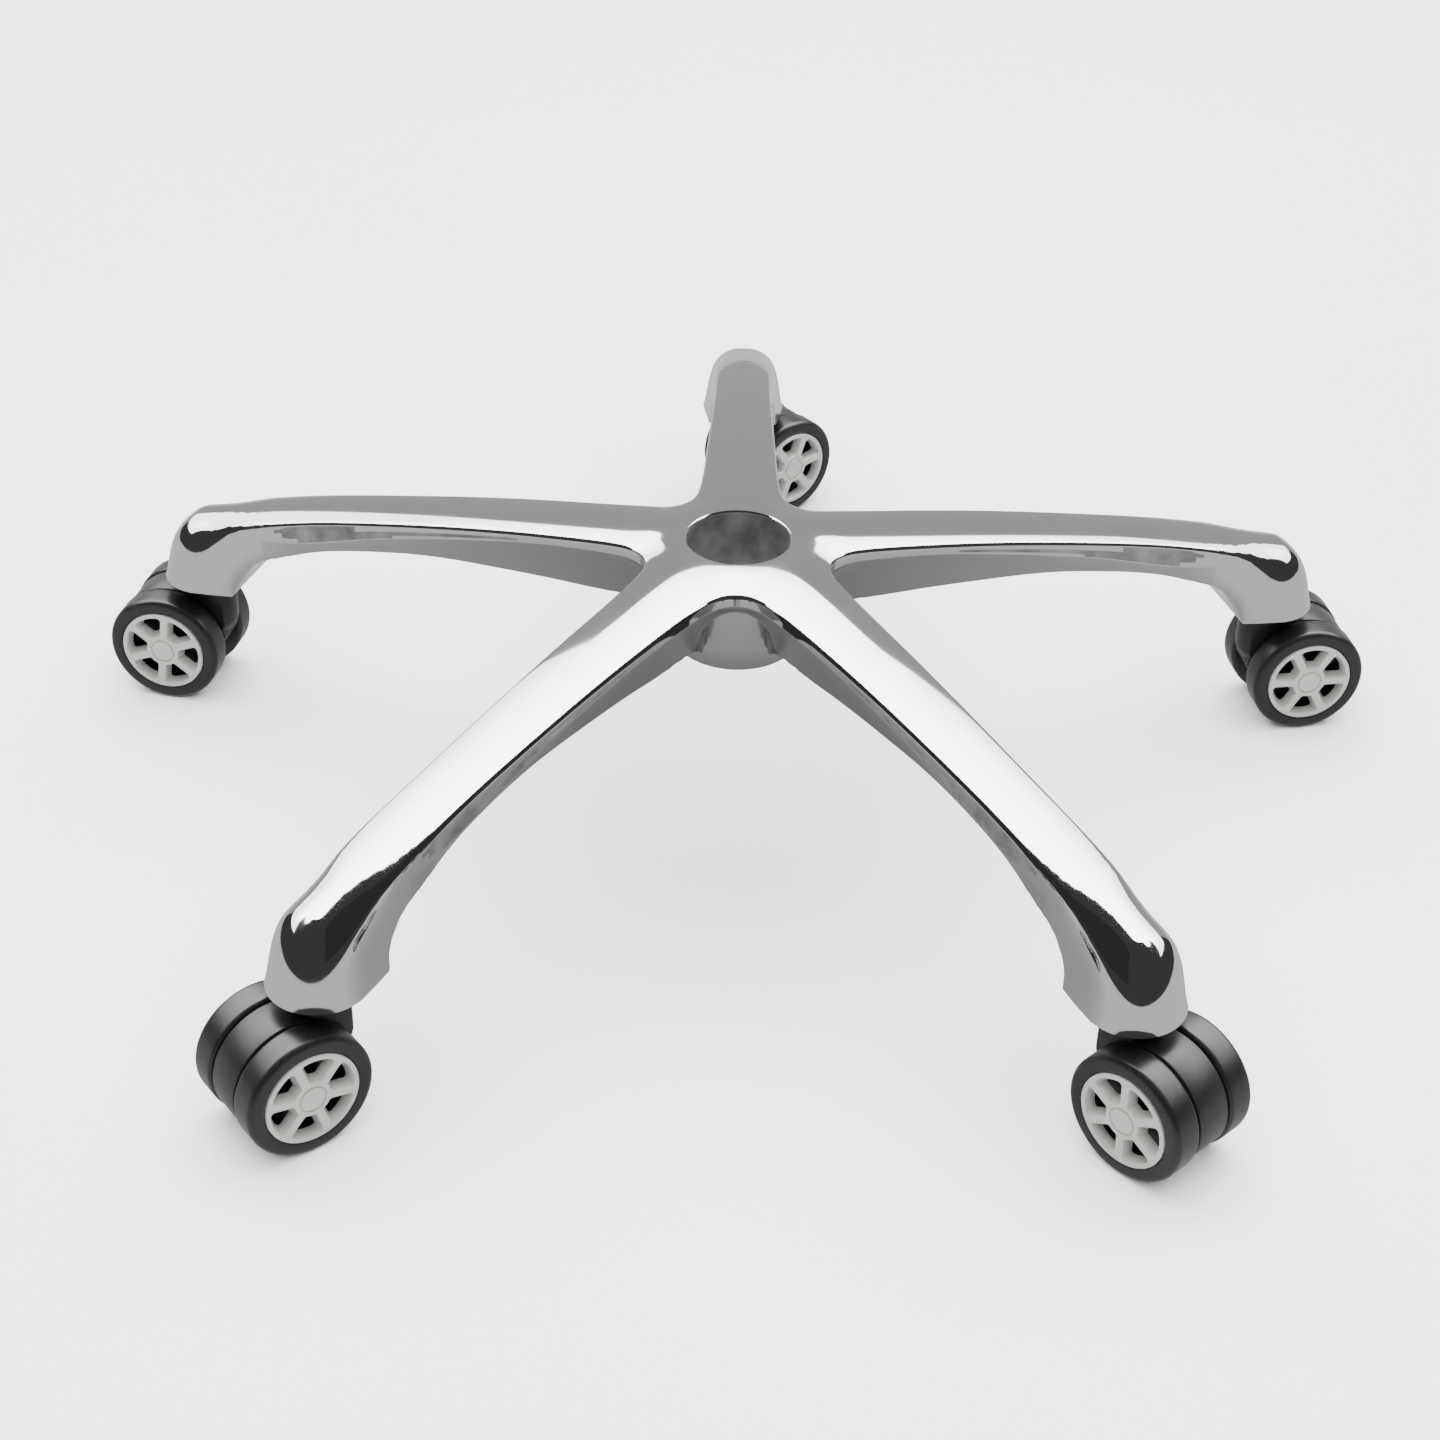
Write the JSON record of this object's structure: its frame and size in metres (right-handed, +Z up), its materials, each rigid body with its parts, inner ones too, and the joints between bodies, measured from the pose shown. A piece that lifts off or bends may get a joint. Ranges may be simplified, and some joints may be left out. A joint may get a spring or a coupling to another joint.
{
  "type": "office chair five star base",
  "caption": "Polished cast star base for an office chair, with a tapered gas lift bore in its hub and a swivelling twin wheel caster under the foot of each arm.",
  "frame": {"origin": "centre of the gas lift bore's mouth, at the flat top of the hub", "axes": "+Z up along the bore, +Y along the back arm, the floor at -0.151 m"},
  "size_m": [0.6662, 0.6339, 0.151],
  "materials": {
    "polished_casting": "polished",
    "plated_steel": "zinc plated",
    "black_nylon": "fine moulded satin",
    "black_tread": "smooth satin polyurethane",
    "silver_cap": "satin silver paint"
  },
  "bodies": {
    "base": {"spider_casting": "polished_casting", "stem_back": "plated_steel", "grip_ring_back": "plated_steel", "stem_left": "plated_steel", "grip_ring_left": "plated_steel", "stem_front_left": "plated_steel", "grip_ring_front_left": "plated_steel", "stem_front_right": "plated_steel", "grip_ring_front_right": "plated_steel", "stem_right": "plated_steel", "grip_ring_right": "plated_steel"},
    "caster_back": {"housing_back": "black_nylon", "axle_back": "plated_steel"},
    "wheel_back_lh": {"wheel_core_back_lh": "black_nylon", "tyre_back_lh": "black_tread", "hub_cap_back_lh": "silver_cap"},
    "wheel_back_rh": {"wheel_core_back_rh": "black_nylon", "tyre_back_rh": "black_tread", "hub_cap_back_rh": "silver_cap"},
    "caster_left": {"housing_left": "black_nylon", "axle_left": "plated_steel"},
    "wheel_left_lh": {"wheel_core_left_lh": "black_nylon", "tyre_left_lh": "black_tread", "hub_cap_left_lh": "silver_cap"},
    "wheel_left_rh": {"wheel_core_left_rh": "black_nylon", "tyre_left_rh": "black_tread", "hub_cap_left_rh": "silver_cap"},
    "caster_front_left": {"housing_front_left": "black_nylon", "axle_front_left": "plated_steel"},
    "wheel_front_left_lh": {"wheel_core_front_left_lh": "black_nylon", "tyre_front_left_lh": "black_tread", "hub_cap_front_left_lh": "silver_cap"},
    "wheel_front_left_rh": {"wheel_core_front_left_rh": "black_nylon", "tyre_front_left_rh": "black_tread", "hub_cap_front_left_rh": "silver_cap"},
    "caster_front_right": {"housing_front_right": "black_nylon", "axle_front_right": "plated_steel"},
    "wheel_front_right_lh": {"wheel_core_front_right_lh": "black_nylon", "tyre_front_right_lh": "black_tread", "hub_cap_front_right_lh": "silver_cap"},
    "wheel_front_right_rh": {"wheel_core_front_right_rh": "black_nylon", "tyre_front_right_rh": "black_tread", "hub_cap_front_right_rh": "silver_cap"},
    "caster_right": {"housing_right": "black_nylon", "axle_right": "plated_steel"},
    "wheel_right_lh": {"wheel_core_right_lh": "black_nylon", "tyre_right_lh": "black_tread", "hub_cap_right_lh": "silver_cap"},
    "wheel_right_rh": {"wheel_core_right_rh": "black_nylon", "tyre_right_rh": "black_tread", "hub_cap_right_rh": "silver_cap"}
  },
  "joints": [
    {"name": "swivel_back", "type": "hinge", "parent": "base", "child": "caster_back", "pos_m": [0, 0.294, -0.091], "axis": [0, 0, 1], "continuous": true},
    {"name": "roll_back_lh", "type": "hinge", "parent": "caster_back", "child": "wheel_back_lh", "pos_m": [0.01548, 0.30667, -0.121], "axis": [-0.6334, 0.7738, 0], "continuous": true},
    {"name": "roll_back_rh", "type": "hinge", "parent": "caster_back", "child": "wheel_back_rh", "pos_m": [0.01548, 0.30667, -0.121], "axis": [-0.6334, 0.7738, 0], "continuous": true},
    {"name": "swivel_left", "type": "hinge", "parent": "base", "child": "caster_left", "pos_m": [-0.27961, 0.09085, -0.091], "axis": [0, 0, 1], "continuous": true},
    {"name": "roll_left_lh", "type": "hinge", "parent": "caster_left", "child": "wheel_left_lh", "pos_m": [-0.29917, 0.09501, -0.121], "axis": [-0.2079, -0.9781, 0], "continuous": true},
    {"name": "roll_left_rh", "type": "hinge", "parent": "caster_left", "child": "wheel_left_rh", "pos_m": [-0.29917, 0.09501, -0.121], "axis": [-0.2079, -0.9781, 0], "continuous": true},
    {"name": "swivel_front_left", "type": "hinge", "parent": "base", "child": "caster_front_left", "pos_m": [-0.17281, -0.23785, -0.091], "axis": [0, 0, 1], "continuous": true},
    {"name": "roll_front_left_lh", "type": "hinge", "parent": "caster_front_left", "child": "wheel_front_left_lh", "pos_m": [-0.18855, -0.25019, -0.121], "axis": [0.617, -0.7869, 0], "continuous": true},
    {"name": "roll_front_left_rh", "type": "hinge", "parent": "caster_front_left", "child": "wheel_front_left_rh", "pos_m": [-0.18855, -0.25019, -0.121], "axis": [0.617, -0.7869, 0], "continuous": true},
    {"name": "swivel_front_right", "type": "hinge", "parent": "base", "child": "caster_front_right", "pos_m": [0.17281, -0.23785, -0.091], "axis": [0, 0, 1], "continuous": true},
    {"name": "roll_front_right_lh", "type": "hinge", "parent": "caster_front_right", "child": "wheel_front_right_lh", "pos_m": [0.1867, -0.25224, -0.121], "axis": [0.7193, 0.6947, 0], "continuous": true},
    {"name": "roll_front_right_rh", "type": "hinge", "parent": "caster_front_right", "child": "wheel_front_right_rh", "pos_m": [0.1867, -0.25224, -0.121], "axis": [0.7193, 0.6947, 0], "continuous": true},
    {"name": "swivel_right", "type": "hinge", "parent": "base", "child": "caster_right", "pos_m": [0.27961, 0.09085, -0.091], "axis": [0, 0, 1], "continuous": true},
    {"name": "roll_right_lh", "type": "hinge", "parent": "caster_right", "child": "wheel_right_lh", "pos_m": [0.29922, 0.09477, -0.121], "axis": [-0.1959, 0.9806, 0], "continuous": true},
    {"name": "roll_right_rh", "type": "hinge", "parent": "caster_right", "child": "wheel_right_rh", "pos_m": [0.29922, 0.09477, -0.121], "axis": [-0.1959, 0.9806, 0], "continuous": true}
  ]
}
